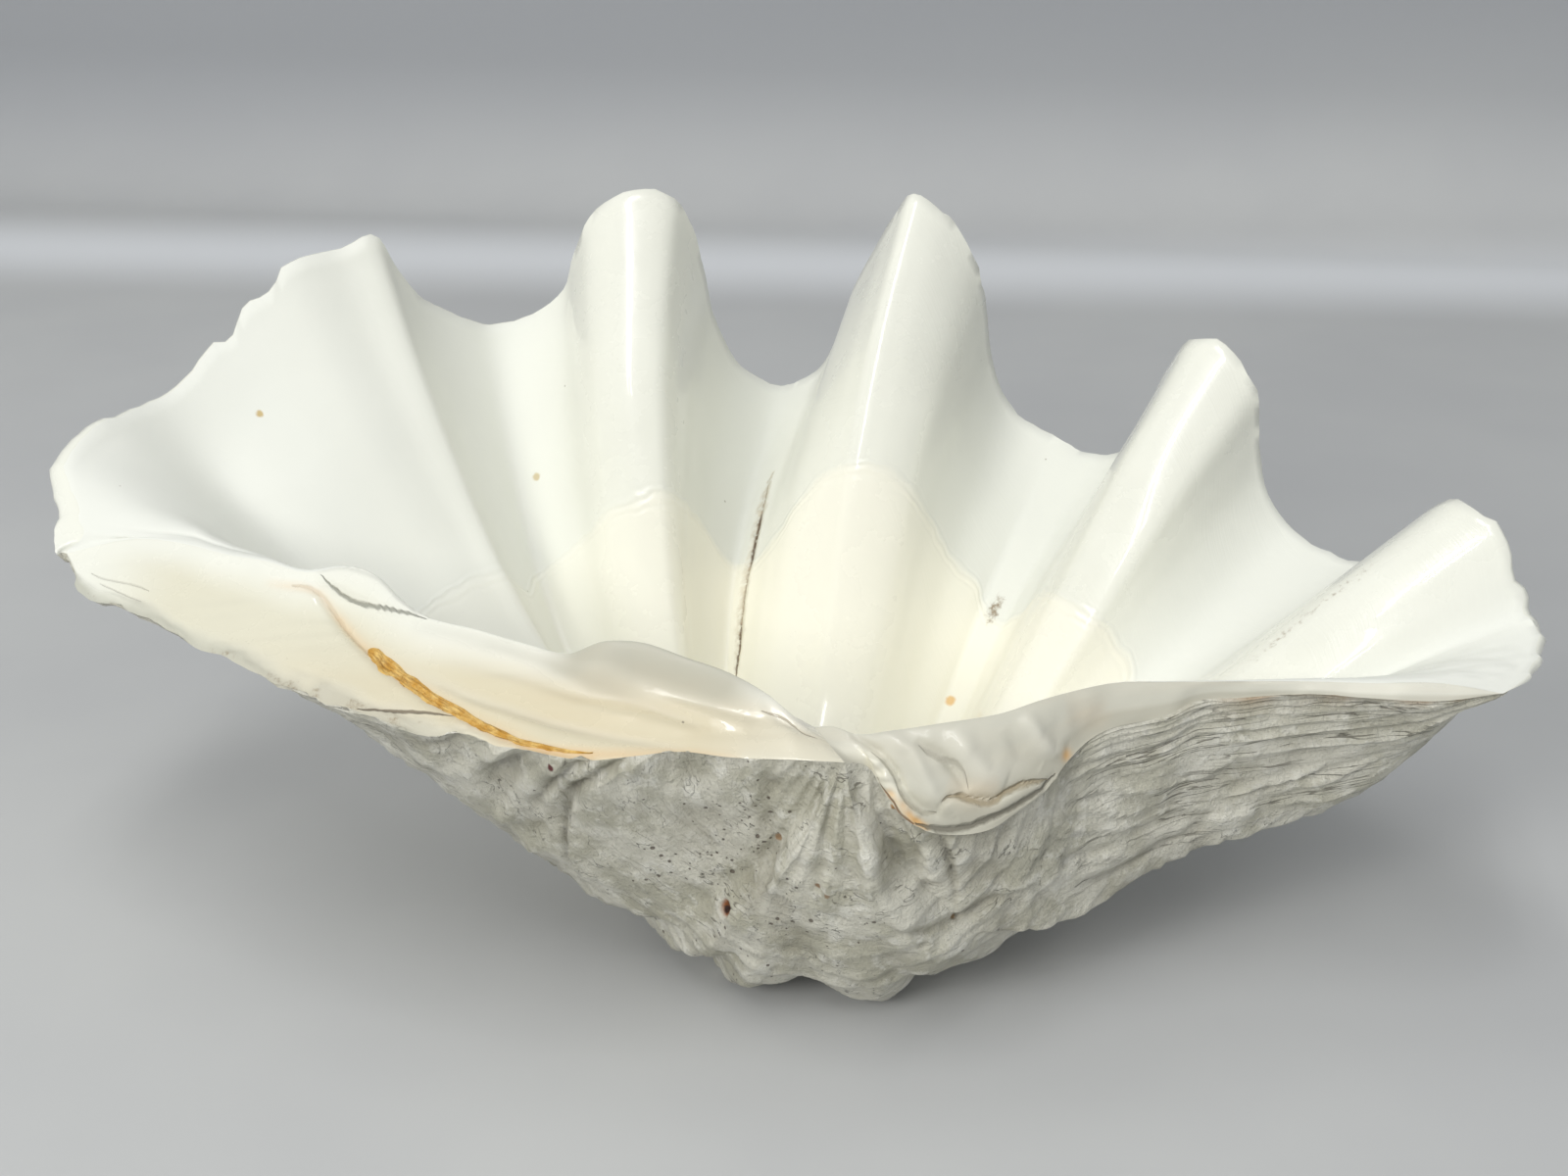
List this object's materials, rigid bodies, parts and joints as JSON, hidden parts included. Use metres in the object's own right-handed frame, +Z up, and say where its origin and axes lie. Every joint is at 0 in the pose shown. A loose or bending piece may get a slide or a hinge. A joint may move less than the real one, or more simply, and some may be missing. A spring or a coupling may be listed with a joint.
{
  "type": "giant clam shell",
  "caption": "Single valve of a giant clam with a deeply scalloped margin and a porcelain bowl, lying on its ribbed outer side as a display shell or dish.",
  "frame": {"origin": "Centre of the bounding box at the level of the table that the valve lies on.", "axes": "+X along the hinge from the rear corner to the front corner of the valve, +Y from the hinge to the scalloped margin, +Z up out of the bowl."},
  "size_m": [0.4263, 0.2378, 0.1916],
  "materials": {
    "shell_porcelain": "glossy porcelain inside, chalky semi-matt outside",
    "dried_ligament": "dry matt"
  },
  "bodies": {
    "root": {"shell_valve": "shell_porcelain", "ligament_remnant": "dried_ligament"}
  },
  "joints": []
}
